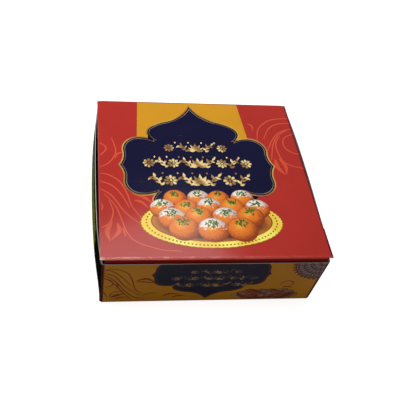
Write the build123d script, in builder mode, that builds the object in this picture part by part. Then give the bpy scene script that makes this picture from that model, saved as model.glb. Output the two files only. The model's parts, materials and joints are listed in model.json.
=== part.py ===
from build123d import *
import os
from math import cos, radians, sin

# A square sweet box folded from one blank of coated paperboard: a bottom, four walls whose corner tabs are
# glued inside the side walls, and a lid on the back wall with a tuck flap and two side flaps.
# Millimetres. X runs across the front, -Y is the front, Z is up, and the origin is under the box's middle.
# The lid rests a little ajar at the front, as the creases of a carton leave it.

os.makedirs("parts", exist_ok=True)

# Box
box_width = 178.0  # across the side walls, at the corners
box_depth = 178.0  # across the front and back walls
box_height = 58.5  # to the top of the lid when it is shut
board = 0.5  # thickness of the paperboard
fold_inside = 0.5  # radius inside every fold
wall_bow = 6.0  # swell of each side wall where it is fullest, halfway up and halfway along
height_shares = ((0, 0), (0.25, 0.7), (0.5, 1), (0.8, 0.84), (1, 0.62))  # of the height, and of the swell
length_shares = ((-1, 0), (-0.76, 0.58), (-0.42, 0.9), (0, 1), (0.42, 0.9), (0.76, 0.58), (1, 0))  # along it
lid_seat = 0.2  # air between the shut lid and the edges of the walls

# Corner tabs and their glue
tab_length = 24.0
tab_taper = 7.0  # how far the tab's free end falls short of its fold, above and below
tab_round = 3.0  # free corners
glue_gap = 0.3  # between tab and side wall
glue_film = 0.06
glue_width = 14.0
glue_height = 34.0
glue_inset = 5.0  # from the corner fold

# Lid
lid_overhang = 1.0  # past the side walls at the corners, on each side
lid_ajar = 1.6  # degrees that the lid stands open at rest

# Tuck flap, at the front of the lid
tuck_depth = 18.0
tuck_round = 9.0  # free corners
tuck_lean = 8.0  # degrees that it is folded past square, towards the inside
tuck_clearance = 0.3  # behind the front wall
tuck_side_gap = 1.4  # beside the corner tabs

# Side flaps of the lid
flap_depth = 20.0
flap_slope = 11.0  # how much the free edge falls short at each end
flap_round = 5.0  # free corners
flap_end_gap = 4.0  # from the ends of the corner tabs

# Sizes that follow
fold_outside = fold_inside + board
wall_top = box_height - board - lid_seat
back_top = box_height - fold_outside
tab_face = box_width / 2 - board - glue_gap  # outer face of the corner folds
wall_half = tab_face - fold_outside  # flat half of the front and back walls
side_half = box_depth / 2 - fold_outside  # flat half of the side walls
lid_half = box_width / 2 + lid_overhang
panel_length = box_depth - board - tuck_clearance - 2 * fold_outside
flap_half = side_half - tab_length - flap_end_gap
tuck_half = tab_face - board - tuck_side_gap

across = Vector(1, 0, 0)
up = Vector(0, 0, 1)
lid_front = Vector(0, -cos(radians(lid_ajar)), sin(radians(lid_ajar)))  # along the lid to its front edge
lid_up = Vector(0, sin(radians(lid_ajar)), cos(radians(lid_ajar)))  # square to the lid
hinge_fold = up * back_top + Vector(0, side_half, 0)  # centre of the fold between back wall and lid
tuck_fold = hinge_fold + lid_front * panel_length
middle_fold = hinge_fold + lid_front * side_half  # between the centres of the two side flaps' folds


def save(part, label):
    part.label = label
    export_step(part, f"parts/{label}.step")


def fold_section(start, sweep):
    """Section of a fold about the sketch's origin, from start through sweep, in degrees."""
    with BuildSketch() as section:
        with BuildLine():
            outer = CenterArc((0, 0), fold_outside, start, sweep)
            inner = CenterArc((0, 0), fold_inside, start, sweep)
            Line(outer @ 0, inner @ 0)
            Line(outer @ 1, inner @ 1)
        make_face()
    return section.sketch


def bowed_sheet(side, inset, thickness):
    """A sheet inset from a side wall's outer face, straight at the bottom fold and bowed out above it."""
    with BuildPart() as sheet:
        for height_share, bow_share in height_shares:
            bow = wall_bow * bow_share
            with BuildSketch(Plane.XY.offset(fold_outside + (wall_top - fold_outside) * height_share)):
                with BuildLine():
                    faces = []
                    for depth in (inset, inset + thickness):
                        x = side * (box_width / 2 - depth)
                        swell = [(x + side * bow * out, side_half * along) for along, out in length_shares]
                        faces.append(Spline(*swell) if bow else Line(swell[0], swell[-1]))
                    Line(faces[0] @ 0, faces[1] @ 0)
                    Line(faces[0] @ 1, faces[1] @ 1)
                make_face()
        loft()
    return sheet.part


# Bottom
with BuildPart() as bottom_panel:
    with BuildSketch():
        Rectangle(2 * (box_width / 2 - fold_outside), 2 * side_half)
    extrude(amount=board)
save(bottom_panel.part, "bottom_panel")

# Front and back walls, each with the crease at its foot and the creases and tabs at its corners
for end_name, end, top in (("front", -1, wall_top), ("back", 1, back_top)):
    outward = Vector(0, end, 0)
    with BuildPart() as end_wall:
        with BuildSketch(Plane(outward * (box_depth / 2), x_dir=across * -end, z_dir=outward)):
            with Locations((0, fold_outside)):
                Rectangle(2 * wall_half, top - fold_outside, align=(Align.CENTER, Align.MIN))
        extrude(amount=-board)
    save(end_wall.part, f"{end_name}_wall")

    fold_centre = outward * side_half + up * fold_outside
    with BuildPart() as bottom_crease:
        with BuildSketch(Plane(fold_centre, x_dir=outward, z_dir=outward.cross(up))):
            add(fold_section(-90, 90))
        extrude(amount=wall_half, both=True)
    save(bottom_crease.part, f"{end_name}_bottom_crease")

    for side_name, side in (("left", -1), ("right", 1)):
        with BuildPart() as corner_crease:
            corner = fold_centre + across * (side * wall_half)
            with BuildSketch(Plane(corner, x_dir=across * side, z_dir=up * (side * end))):
                add(fold_section(0, 90))
            extrude(amount=side * end * (top - fold_outside))
        save(corner_crease.part, f"{end_name}_{side_name}_corner_crease")

        with BuildPart() as tab:
            add(bowed_sheet(side, board + glue_gap, board))
            with BuildSketch(Plane.YZ) as tab_outline:
                with BuildLine():
                    root, tip = end * side_half, end * (side_half - tab_length)
                    Polyline(
                        (root, fold_outside),
                        (root, top),
                        (tip, top - tab_taper),
                        (tip, fold_outside + tab_taper),
                        close=True,
                    )
                make_face()
                fillet(tab_outline.vertices().group_by(Axis.X, reverse=end > 0)[-1], tab_round)
            extrude(amount=box_width, both=True, mode=Mode.INTERSECT)
        save(tab.part, f"{end_name}_{side_name}_tab")

# Side walls, each with the crease at its foot
for side_name, side in (("left", -1), ("right", 1)):
    with BuildPart() as side_wall:
        add(bowed_sheet(side, 0, board))
    save(side_wall.part, f"{side_name}_wall")

    outward = across * side
    with BuildPart() as bottom_crease:
        fold_centre = outward * (box_width / 2 - fold_outside) + up * fold_outside
        with BuildSketch(Plane(fold_centre, x_dir=outward, z_dir=outward.cross(up))):
            add(fold_section(-90, 90))
        extrude(amount=side_half, both=True)
    save(bottom_crease.part, f"{side_name}_bottom_crease")

# Glue films between the tabs and the side walls
pads = []
for side in (-1, 1):
    for end in (-1, 1):
        pad_middle = end * (side_half - glue_inset - glue_width / 2), (fold_outside + back_top) / 2
        with BuildPart() as pad:
            add(bowed_sheet(side, board + (glue_gap - glue_film) / 2, glue_film))
            with BuildSketch(Plane.YZ):
                with Locations(pad_middle):
                    Rectangle(glue_width, glue_height)
            extrude(amount=box_width, both=True, mode=Mode.INTERSECT)
        pads.append(pad.part)
with BuildPart() as corner_glue:
    add(pads)
save(corner_glue.part, "corner_glue")

# Lid panel, cut back where its folds begin
with BuildPart() as lid_panel:
    with BuildSketch(Plane(hinge_fold + lid_up * fold_outside, x_dir=across, z_dir=lid_up)):
        full_length = panel_length + fold_outside
        Rectangle(2 * lid_half, full_length, align=(Align.CENTER, Align.MAX))
        with Locations((0, -full_length)):
            Rectangle(2 * tuck_half, fold_outside, align=(Align.CENTER, Align.MIN), mode=Mode.SUBTRACT)
        with Locations((lid_half, -side_half), (-lid_half, -side_half)):
            Rectangle(2 * fold_outside, 2 * flap_half, mode=Mode.SUBTRACT)
    extrude(amount=-board)
save(lid_panel.part, "lid_panel")

with BuildPart() as lid_crease:
    with BuildSketch(Plane(hinge_fold, x_dir=(0, 1, 0), z_dir=across)):
        add(fold_section(0, 90 - lid_ajar))
    extrude(amount=wall_half, both=True)
save(lid_crease.part, "lid_crease")

# Tuck flap
with BuildPart() as tuck_crease:
    with BuildSketch(Plane(tuck_fold, x_dir=lid_front, z_dir=lid_front.cross(lid_up))):
        add(fold_section(-tuck_lean, 90 + tuck_lean))
    extrude(amount=tuck_half, both=True)
save(tuck_crease.part, "tuck_crease")

with BuildPart() as tuck_flap:
    flap_out = lid_front * cos(radians(tuck_lean)) - lid_up * sin(radians(tuck_lean))
    face_plane = Plane(tuck_fold + flap_out * fold_outside, x_dir=across, z_dir=flap_out)
    with BuildSketch(face_plane) as tuck_outline:
        Rectangle(2 * tuck_half, tuck_depth, align=(Align.CENTER, Align.MAX))
        fillet(tuck_outline.vertices().group_by(Axis.Y)[0], tuck_round)
    extrude(amount=-board)
save(tuck_flap.part, "tuck_flap")

# Side flaps
for side_name, side in (("left", -1), ("right", 1)):
    outward = across * side
    fold_centre = middle_fold + outward * (lid_half - fold_outside)
    with BuildPart() as flap_crease:
        with BuildSketch(Plane(fold_centre, x_dir=outward, z_dir=outward.cross(lid_up))):
            add(fold_section(0, 90))
        extrude(amount=flap_half, both=True)
    save(flap_crease.part, f"{side_name}_flap_crease")

    with BuildPart() as side_flap:
        face_plane = Plane(fold_centre + outward * fold_outside, x_dir=lid_up.cross(outward), z_dir=outward)
        with BuildSketch(face_plane) as flap_outline:
            with BuildLine():
                Polyline(
                    (-flap_half, 0),
                    (flap_half, 0),
                    (flap_half - flap_slope, -flap_depth),
                    (flap_slope - flap_half, -flap_depth),
                    close=True,
                )
            make_face()
            fillet(flap_outline.vertices().group_by(Axis.Y)[0], flap_round)
        extrude(amount=-board)
    save(side_flap.part, f"{side_name}_flap")
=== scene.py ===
import json
import math
import random

import bmesh
import bpy
from mathutils import Matrix, Vector


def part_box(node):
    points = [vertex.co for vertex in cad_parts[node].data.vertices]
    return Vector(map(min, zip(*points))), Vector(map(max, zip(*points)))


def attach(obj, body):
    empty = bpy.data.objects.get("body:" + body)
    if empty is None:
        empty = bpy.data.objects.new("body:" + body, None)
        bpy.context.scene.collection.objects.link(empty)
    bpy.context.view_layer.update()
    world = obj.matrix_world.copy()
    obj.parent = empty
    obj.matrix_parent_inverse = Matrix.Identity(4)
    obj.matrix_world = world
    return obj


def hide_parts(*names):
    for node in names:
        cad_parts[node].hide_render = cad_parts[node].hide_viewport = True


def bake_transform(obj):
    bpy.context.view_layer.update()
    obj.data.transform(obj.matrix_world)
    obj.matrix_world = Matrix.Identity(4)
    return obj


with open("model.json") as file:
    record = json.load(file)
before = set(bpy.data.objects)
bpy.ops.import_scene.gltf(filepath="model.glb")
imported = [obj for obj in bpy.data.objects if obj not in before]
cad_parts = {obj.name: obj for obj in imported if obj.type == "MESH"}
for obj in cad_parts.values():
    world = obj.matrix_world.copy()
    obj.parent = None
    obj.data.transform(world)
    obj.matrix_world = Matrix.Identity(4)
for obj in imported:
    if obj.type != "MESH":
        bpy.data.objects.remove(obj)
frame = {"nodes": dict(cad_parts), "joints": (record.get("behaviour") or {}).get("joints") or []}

mm = 0.001
scene = bpy.context.scene
nodes = frame["nodes"]
joints = {joint["name"]: joint for joint in frame["joints"]}
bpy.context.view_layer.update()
print("frame loaded with", len(nodes), "nodes")


# Camera
cameraView = {
    "place": (-0.1022, -0.3159, 0.4251),
    "turn": (38.35, -6.10, -4.47),  # degrees about X, Y and Z
    "lens": 52.02,
    "sensor": 36.0,
    "sideShift": 0.1,  # the photograph is cut from a wider one, whose middle lies further right
    "nearest": 10 * mm,
}


def setCamera(view):
    data = bpy.data.cameras.new("camera")
    data.lens = view["lens"]
    data.sensor_width = view["sensor"]
    data.shift_x = view["sideShift"]
    data.clip_start = view["nearest"]
    eye = bpy.data.objects.new("camera", data)
    eye.location = view["place"]
    eye.rotation_euler = [math.radians(angle) for angle in view["turn"]]
    scene.collection.objects.link(eye)
    scene.camera = eye


setCamera(cameraView)
scene.view_settings.view_transform = "Standard"
print("camera set")


# Colours are written as they are seen, 0 to 255, and turned into linear values here
def ink(red, green, blue):
    def linear(value):
        share = value / 255
        return share / 12.92 if share <= 0.04045 else ((share + 0.055) / 1.055) ** 2.4
    return linear(red), linear(green), linear(blue), 1.0


# Lays out and links nodes, for shader and geometry trees alike
class Bench:
    def __init__(self, tree):
        self.tree = tree

    def plug(self, target, value):
        if isinstance(value, bpy.types.NodeSocket):
            self.tree.links.new(value, target)
        else:
            target.default_value = value

    def add(self, kind, plugs=None, **settings):
        node = self.tree.nodes.new(kind)
        for name, value in settings.items():
            setattr(node, name, value)
        for name, value in (plugs or {}).items():
            self.plug(node.inputs[name], value)
        return node

    def math(self, operation, *values, clamp=False):
        node = self.add("ShaderNodeMath", operation=operation, use_clamp=clamp)
        for target, value in zip(node.inputs, values):
            self.plug(target, value)
        return node.outputs[0]

    def times(self, first, second):
        return self.math("MULTIPLY", first, second)

    def plus(self, total, *others, clamp=False):
        for other in others:
            total = self.math("ADD", total, other, clamp=clamp)
        return total

    def minus(self, first, second, clamp=False):
        return self.math("SUBTRACT", first, second, clamp=clamp)

    def vector(self, operation, *values):
        node = self.add("ShaderNodeVectorMath", operation=operation)
        for target, value in zip(node.inputs, values):
            self.plug(target, value)
        single = operation in ("DOT_PRODUCT", "LENGTH", "DISTANCE")
        return node.outputs["Value" if single else "Vector"]

    def rise(self, value, low, high):  # smoothly from 0 at low to 1 at high
        plugs = {"Value": value, "From Min": low, "From Max": high}
        return self.add("ShaderNodeMapRange", plugs, interpolation_type="SMOOTHSTEP").outputs[0]

    def between(self, share, first, last):
        plugs = {"Value": share, "To Min": first, "To Max": last}
        return self.add("ShaderNodeMapRange", plugs).outputs[0]

    def blend(self, share, first, last):
        node = self.add("ShaderNodeMix", data_type="RGBA")
        for place, value in ((0, share), (6, first), (7, last)):
            self.plug(node.inputs[place], value)
        return node.outputs[2]

    def noise(self, vector, scale, detail=2.0, roughness=0.5, distortion=0.0, stretch=None):
        if stretch:
            vector = self.add("ShaderNodeMapping", {"Vector": vector, "Scale": stretch}).outputs[0]
        plugs = {"Vector": vector, "Scale": scale, "Detail": detail, "Roughness": roughness,
                 "Distortion": distortion}
        return self.add("ShaderNodeTexNoise", plugs).outputs[0]

    def split(self, vector):
        return self.add("ShaderNodeSeparateXYZ", {"Vector": vector}).outputs

    def join(self, x, y, z):
        return self.add("ShaderNodeCombineXYZ", {"X": x, "Y": y, "Z": z}).outputs[0]

    def group(self, tree, plugs):
        return self.add("ShaderNodeGroup", plugs, node_tree=tree).outputs


# takes are inputs as (name, kind) or (name, kind, default), gives are outputs as (name, kind)
def newGroup(name, takes, gives, kind="ShaderNodeTree"):
    tree = bpy.data.node_groups.new(name, kind)
    for socketName, socketType, *default in takes:
        socket = tree.interface.new_socket(socketName, in_out="INPUT", socket_type=socketType)
        if default:
            socket.default_value = default[0]
    for socketName, socketType in gives:
        tree.interface.new_socket(socketName, in_out="OUTPUT", socket_type=socketType)
    entry = tree.nodes.new("NodeGroupInput").outputs
    leave = tree.nodes.new("NodeGroupOutput").inputs
    return tree, Bench(tree), entry, leave


number, colour, direction = "NodeSocketFloat", "NodeSocketColor", "NodeSocketVector"

# Which side of the board a point is on, told by the side that faces outwards on the folded box
facingBounds = 0.45, 0.6  # how squarely a face looks outwards, where its print begins and where it is full


def makeBoardSides(low, high):
    takes = [("Outward", direction)]
    gives = [("Printed", number), ("Inner", number)]
    tree, bench, entry, leave = newGroup("Board Sides", takes, gives)
    normal = bench.add("ShaderNodeTexCoord").outputs["Normal"]
    facing = bench.vector("DOT_PRODUCT", bench.vector("NORMALIZE", entry["Outward"]), normal)
    bench.plug(leave["Printed"], bench.rise(facing, low, high))
    bench.plug(leave["Inner"], bench.rise(facing, -low, -high))
    return tree


# Uncoated recycled board: cloudy fibres with a few darker specks
fibreLook = {
    "light": ink(192, 186, 176),
    "dark": ink(158, 152, 143),
    "speck": ink(92, 78, 62),
    "clouds": {"scale": 60, "detail": 4, "roughness": 0.6},
    "grain": {"scale": 1500, "detail": 5, "roughness": 0.7, "distortion": 0.8, "stretch": (1, 0.45, 1)},
    "cloudShare": 0.16,
    "grainShare": 0.9,
    "toneBounds": (0.34, 0.74),
    "speckScale": 420.0,
    "speckBounds": (0.2, 0.08),  # from the middle of its cell
    "bareCells": 0.72,  # share of the cells that have no speck
    "speckShare": 0.5,
}


def makeBoardFibre(settings):
    takes = [("Vector", direction), ("Light", colour, settings["light"]), ("Dark", colour, settings["dark"])]
    gives = [("Colour", colour), ("Height", number)]
    tree, bench, entry, leave = newGroup("Board Fibre", takes, gives)
    clouds = bench.noise(entry["Vector"], **settings["clouds"])
    grain = bench.noise(entry["Vector"], **settings["grain"])
    tone = bench.plus(bench.times(clouds, settings["cloudShare"]), bench.times(grain, settings["grainShare"]))
    paper = bench.blend(bench.rise(tone, *settings["toneBounds"]), entry["Dark"], entry["Light"])
    cells = {"Vector": entry["Vector"], "Scale": settings["speckScale"]}
    specks = bench.add("ShaderNodeTexVoronoi", cells).outputs
    lone = bench.math("GREATER_THAN", bench.split(specks["Color"])[0], settings["bareCells"])
    speck = bench.times(bench.rise(specks["Distance"], *settings["speckBounds"]), lone)
    speck = bench.times(speck, settings["speckShare"])
    bench.plug(leave["Colour"], bench.blend(speck, paper, settings["speck"]))
    bench.plug(leave["Height"], grain)
    return tree


# Printing ink under a thin gloss coat: slight mottle, faint scuffs, orange peel and a gentle unevenness
inkLook = {
    "mottle": 0.08,
    "mottleGain": 4.0,
    "blotchShare": 0.7,
    "core": ink(214, 200, 192),  # shows where the ink is worn off
    "noises": {
        "blotch": {"scale": 28, "detail": 3, "roughness": 0.55},
        "grain": {"scale": 2600},
        "scratches": {"scale": 1, "detail": 3, "roughness": 0.65, "distortion": 0.4,
                      "stretch": (40, 1200, 1200)},
        "dust": {"scale": 700, "detail": 3, "roughness": 0.7},
        "smear": {"scale": 45, "detail": 4, "roughness": 0.6, "distortion": 0.7, "stretch": (1, 1.6, 1)},
        "peel": {"scale": 900},
        "waves": {"scale": 22, "roughness": 0.4},
    },
    "scratchBounds": (0.68, 0.78),
    "dustBounds": (0.42, 0.62),
    "scuffShare": 0.16,
    "roughness": (0.1, 0.24),  # outside the smears and in them
    "scuffRoughness": 0.2,
    "wornRoughness": 0.45,
    "peelHeight": 0.012,
    "wornHeight": -0.02,
}


def makeInkCoat(settings):
    takes = [("Colour", colour), ("Vector", direction), ("Mottle", number, settings["mottle"]),
             ("Worn", number, 0.0), ("Core", colour, settings["core"])]
    gives = [("Colour", colour), ("Roughness", number), ("Height", number)]
    tree, bench, entry, leave = newGroup("Ink Coat", takes, gives)
    noises = {name: bench.noise(entry["Vector"], **values) for name, values in settings["noises"].items()}
    blotch = bench.times(noises["blotch"], settings["blotchShare"])
    uneven = bench.plus(blotch, bench.times(noises["grain"], 1 - settings["blotchShare"]))
    change = bench.times(bench.minus(uneven, 0.5), bench.times(entry["Mottle"], settings["mottleGain"]))
    tint = bench.vector("SCALE", entry["Colour"])
    bench.plug(tint.node.inputs["Scale"], bench.plus(change, 1.0))
    scratch = bench.rise(noises["scratches"], *settings["scratchBounds"])
    scuff = bench.times(scratch, bench.rise(noises["dust"], *settings["dustBounds"]))
    faded = bench.blend(bench.times(scuff, settings["scuffShare"]), tint, entry["Core"])
    bench.plug(leave["Colour"], bench.blend(entry["Worn"], faded, entry["Core"]))
    shine = bench.between(noises["smear"], *settings["roughness"])
    shine = bench.plus(shine, bench.times(scuff, settings["scuffRoughness"]))
    bench.plug(leave["Roughness"], bench.plus(shine, bench.times(entry["Worn"], settings["wornRoughness"])))
    peel = bench.times(noises["peel"], settings["peelHeight"])
    sunk = bench.times(entry["Worn"], settings["wornHeight"])
    bench.plug(leave["Height"], bench.plus(peel, noises["waves"], sunk))
    return tree


# Cracked, whitened ink near a fold or a cut edge
wearLook = {
    "crackle": {"scale": 1100, "detail": 5, "roughness": 0.7},
    "patches": {"scale": 55, "detail": 3, "roughness": 0.6},
    "shares": (0.55, 0.5, 0.35),  # of nearness, crackle and patches
    "bounds": (0.72, 0.95),
    "nearBounds": (0.0, 0.25),
}


def makeFoldWear(settings):
    takes = [("Distance", number), ("Vector", direction), ("Reach", number), ("Amount", number)]
    tree, bench, entry, leave = newGroup("Fold Wear", takes, [("Mask", number)])
    near = bench.minus(1.0, bench.math("DIVIDE", entry["Distance"], entry["Reach"]), clamp=True)
    parts = (near, bench.noise(entry["Vector"], **settings["crackle"]),
             bench.noise(entry["Vector"], **settings["patches"]))
    total = bench.plus(*(bench.times(part, share) for part, share in zip(parts, settings["shares"])))
    mask = bench.times(bench.rise(total, *settings["bounds"]), bench.rise(near, *settings["nearBounds"]))
    bench.plug(leave["Mask"], bench.times(mask, entry["Amount"]))
    return tree


# Gold ink with a painted sheen: soft bands of pale and deep gold that run aslant, in place of the shine of
# metal
goldLook = {
    "slant": 0.6,
    "wander": 18 * mm,
    "noise": {"scale": 60, "detail": 3, "roughness": 0.6},
    "bounds": (-0.9, 0.9),
}


def makeGoldInkAndSheen(settings):
    takes = [("Vector", direction), ("Band", number), ("Pale", colour), ("Deep", colour)]
    tree, bench, entry, leave = newGroup("Gold Ink And Sheen", takes, [("Colour", colour)])
    x, y, _ = bench.split(entry["Vector"])
    wander = bench.times(bench.noise(entry["Vector"], **settings["noise"]), settings["wander"])
    along = bench.plus(x, bench.times(y, settings["slant"]), wander)
    wave = bench.math("SINE", bench.times(bench.math("DIVIDE", along, entry["Band"]), math.tau))
    pale = bench.rise(wave, *settings["bounds"])
    bench.plug(leave["Colour"], bench.blend(pale, entry["Deep"], entry["Pale"]))
    return tree


boardSides = makeBoardSides(*facingBounds)
boardFibre = makeBoardFibre(fibreLook)
inkCoat = makeInkCoat(inkLook)
foldWear = makeFoldWear(wearLook)
goldInkAndSheen = makeGoldInkAndSheen(goldLook)
print("shader groups built")

# The varnish, the depth of each relief, and the bare board
finish = {
    "coat": {"Coat Roughness": 0.1, "Coat IOR": 1.45},
    "coatWeight": 0.14,
    "specular": 0.21,
    "dullRoughness": 0.3,  # added where there is no sheen
    "printRelief": 0.12 * mm,
    "fibreRelief": 0.03 * mm,
    "bareRoughness": 0.85,
    "lint": 0.3,
    "cutEdge": ink(206, 198, 188),
    "cutEdgeShare": 0.45,
}


def newMaterial(name, fixed):
    material = bpy.data.materials.new(name)
    material.use_nodes = True
    shader = material.node_tree.nodes["Principled BSDF"]
    for socket, value in fixed.items():
        shader.inputs[socket].default_value = value
    return material, Bench(material.node_tree), shader.inputs


# Varnish: sheen 1 is the lid's gloss, 0 is dull, and share says where there is any
def setCoat(bench, sockets, roughness, sheen, share=None):
    sockets["Specular IOR Level"].default_value = finish["specular"] * sheen
    weight = finish["coatWeight"] * sheen
    bench.plug(sockets["Coat Weight"], weight if share is None else bench.times(share, weight))
    bench.plug(sockets["Roughness"], bench.plus(roughness, finish["dullRoughness"] * (1 - sheen), clamp=True))


def addBump(bench, height, distance, sockets):
    bump = bench.add("ShaderNodeBump", {"Height": height, "Distance": distance, "Strength": 1.0})
    bench.plug(sockets["Normal"], bump.outputs[0])


def valueAt(place, value, bench):  # value is fixed, or a function that works it out at a place
    return value(bench, place) if callable(value) else value


# Folded board: print on the outward side, fibre on the inner side, paler fibre on cut edges
def boardMaterial(name, outward, shade, sheen, edges=(), reach=0.0, amount=0.0, endsFrom=None):
    material, bench, sockets = newMaterial(name, finish["coat"])
    place = bench.add("ShaderNodeTexCoord").outputs["Object"]
    sides = bench.group(boardSides, {"Outward": outward})
    distance, worn = None, 0.0
    for axis, limit in edges:
        here = bench.minus(limit, bench.vector("DOT_PRODUCT", place, axis))
        distance = here if distance is None else bench.math("MINIMUM", distance, here)
    if distance is not None:
        plugs = {"Distance": distance, "Vector": place, "Reach": reach, "Amount": amount}
        worn = bench.group(foldWear, plugs)["Mask"]
    coat = bench.group(inkCoat, {"Colour": valueAt(place, shade, bench), "Vector": place, "Worn": worn})
    fibre = bench.group(boardFibre, {"Vector": place})
    cutEdge = bench.blend(finish["cutEdgeShare"], fibre["Colour"], finish["cutEdge"])
    bare = bench.blend(sides["Inner"], cutEdge, fibre["Colour"])
    printed = sides["Printed"]
    if endsFrom:  # the ink runs round the cut ends
        along = bench.math("ABSOLUTE", bench.split(place)[1])
        printed = bench.math("MAXIMUM", printed, bench.math("GREATER_THAN", along, endsFrom))
    bench.plug(sockets["Base Color"], bench.blend(printed, bare, coat["Colour"]))
    rough = bench.add("ShaderNodeMix", {0: printed, 2: finish["bareRoughness"], 3: coat["Roughness"]})
    setCoat(bench, sockets, rough.outputs[0], sheen, printed)
    lint = bench.times(fibre["Height"], finish["lint"])
    height = bench.add("ShaderNodeMix", {0: printed, 2: lint, 3: coat["Height"]})
    addBump(bench, height.outputs[0], finish["printRelief"], sockets)
    return material


# Ink printed over the board as a layer of its own
def layerMaterial(name, shade, mottle=inkLook["mottle"], sheen=1.0):
    material, bench, sockets = newMaterial(name, finish["coat"])
    source = bench.add("ShaderNodeTexCoord").outputs
    tone = valueAt(source["Object"], shade, bench)
    coat = bench.group(inkCoat, {"Colour": tone, "Vector": source["Object"], "Mottle": mottle})
    bench.plug(sockets["Base Color"], coat["Colour"])
    setCoat(bench, sockets, coat["Roughness"], sheen)
    addBump(bench, coat["Height"], finish["printRelief"], sockets)
    return material


# Frames that the print lies in: the lid tilted by its hinge, and the upright walls
across, up = Vector((1, 0, 0)), Vector((0, 0, 1))
lidFront = Vector(joints["left_flap_fold"]["axis"]).normalized()
lidUp = lidFront.cross(across)


def reachOf(nodeName, way):
    return max(vertex.co.dot(way) for vertex in nodes[nodeName].data.vertices)


def sheetFrame(origin, right, upward):
    turn = Matrix((right, upward, right.cross(upward))).transposed().to_4x4()
    return Matrix.Translation(origin) @ turn


lidTop = reachOf("lid_panel", lidUp)
lidBack = -reachOf("lid_panel", -lidFront)
lidLength = (reachOf("lid_panel", lidFront) - lidBack) / mm
lidHalf = reachOf("lid_panel", across) / mm
wallHalf = reachOf("front_wall", across) / mm
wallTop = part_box("front_wall")[1].z / mm
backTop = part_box("back_wall")[1].z / mm
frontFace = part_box("front_wall")[0].y
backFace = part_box("back_wall")[1].y

lidSheet = sheetFrame(lidFront * lidBack + lidUp * lidTop, across, -lidFront)
frontSheet = sheetFrame(Vector((0, frontFace, 0)), across, up)
backSheet = sheetFrame(Vector((0, backFace, 0)), -across, up)
print("sheet frames ready")


# Flat shapes of the print are drawn in millimetres and scaled when they are put on the board
def arcChain(marks, steps=10):
    path = []
    for (x0, y0, sag), (x1, y1, _) in zip(marks, marks[1:]):
        start, end = Vector((x0, y0)), Vector((x1, y1))
        chord = end - start
        if sag:
            rise = sag * chord.length
            radius = (chord.length_squared / 4 + rise * rise) / (2 * rise)
            left = Vector((-chord.y, chord.x)).normalized()
            centre = (start + end) / 2 + left * (rise - radius)
            turn = 4 * math.atan(2 * sag)
        for step in range(steps):
            share = step / steps
            if sag:
                path.append(centre + Matrix.Rotation(-turn * share, 2) @ (start - centre))
            else:
                path.append(start + chord * share)
    return path


def offsetLoop(loop, distance, sharpest=2.5):
    shifted = []
    for before, here, after in zip(loop[-1:] + loop[:-1], loop, loop[1:] + loop[:1]):
        first, second = (here - before).normalized(), (after - here).normalized()
        normals = Vector((first.y, -first.x)), Vector((second.y, -second.x))
        middle = (normals[0] + normals[1]).normalized()
        shifted.append(here + middle * distance / max(middle.dot(normals[0]), 1 / sharpest))
    return shifted


def ellipseLoop(middle, halfWidth, halfHeight, count=72, lobes=0, lobeShare=0.0):
    loop = []
    for step in range(count):
        angle = math.tau * step / count
        swell = 1 + lobeShare * abs(math.sin(lobes * angle / 2)) if lobes else 1
        loop.append(Vector((middle[0] + halfWidth * swell * math.cos(angle),
                            middle[1] + halfHeight * swell * math.sin(angle))))
    return loop


def toMesh(mesh, name="print"):
    data = bpy.data.meshes.new(name)
    mesh.to_mesh(data)
    mesh.free()
    return data


def slabMesh(loop, top):
    mesh = bmesh.new()
    lower, upper = ([mesh.verts.new((point[0], point[1], height)) for point in loop] for height in (0, top))
    faces = [mesh.faces.new(upper), mesh.faces.new(lower[::-1])]
    for here in range(len(loop)):
        ahead = (here + 1) % len(loop)
        mesh.faces.new((lower[here], lower[ahead], upper[ahead], upper[here]))
    mesh.normal_update()
    bmesh.ops.triangulate(mesh, faces=faces)
    return toMesh(mesh)


def ringMesh(outer, inner, top):
    mesh = bmesh.new()
    rims = [[mesh.verts.new((point[0], point[1], height)) for point in loop]
            for loop, height in ((outer, 0), (outer, top), (inner, top), (inner, 0))]
    for here in range(len(outer)):
        ahead = (here + 1) % len(outer)
        for rim, other in zip(rims, rims[1:] + rims[:1]):
            mesh.faces.new((rim[here], rim[ahead], other[ahead], other[here]))
    return toMesh(mesh)


def gather(meshes):
    whole = bmesh.new()
    for data in meshes:
        whole.from_mesh(data)
    return toMesh(whole)


def clipLoop(loop, point, way):  # what lies behind a line, given by a point and a way
    kept = []
    for here, ahead in zip(loop, loop[1:] + loop[:1]):
        before, after = ((Vector(spot) - Vector(point)).dot(Vector(way)) for spot in (here, ahead))
        if before <= 0:
            kept.append(Vector(here))
        if before * after < 0:
            kept.append(Vector(here).lerp(Vector(ahead), before / (before - after)))
    return kept


def trim(data, planes):  # keeps what lies behind each plane, given by a point and a way, and closes the cuts
    mesh = bmesh.new()
    mesh.from_mesh(data)
    for point, way in planes:
        geometry = mesh.verts[:] + mesh.edges[:] + mesh.faces[:]
        plugs = {"plane_co": (*point, 0), "plane_no": (*way, 0), "clear_outer": True, "dist": 1e-5}
        cut = bmesh.ops.bisect_plane(mesh, geom=geometry, **plugs)
        rim = [item for item in cut["geom_cut"] if isinstance(item, bmesh.types.BMEdge)]
        bmesh.ops.holes_fill(mesh, edges=rim, sides=0)
    return toMesh(mesh)


def limits(left, right, low, high):  # the planes that a print is trimmed by
    return ((left, 0), (-1, 0)), ((right, 0), (1, 0)), ((0, low), (0, -1)), ((0, high), (0, 1))


def putPiece(name, data, material, sheet, body):
    data.transform(sheet @ Matrix.Scale(mm, 4))
    data.materials.clear()
    data.materials.append(material)
    piece = bpy.data.objects.new(name, data)
    scene.collection.objects.link(piece)
    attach(piece, body)


# Here pieces is a dictionary from the end of each name to its mesh and its ink
def trimmed(pieces, planes):
    return {name: (trim(data, planes), material) for name, (data, material) in pieces.items()}


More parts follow.
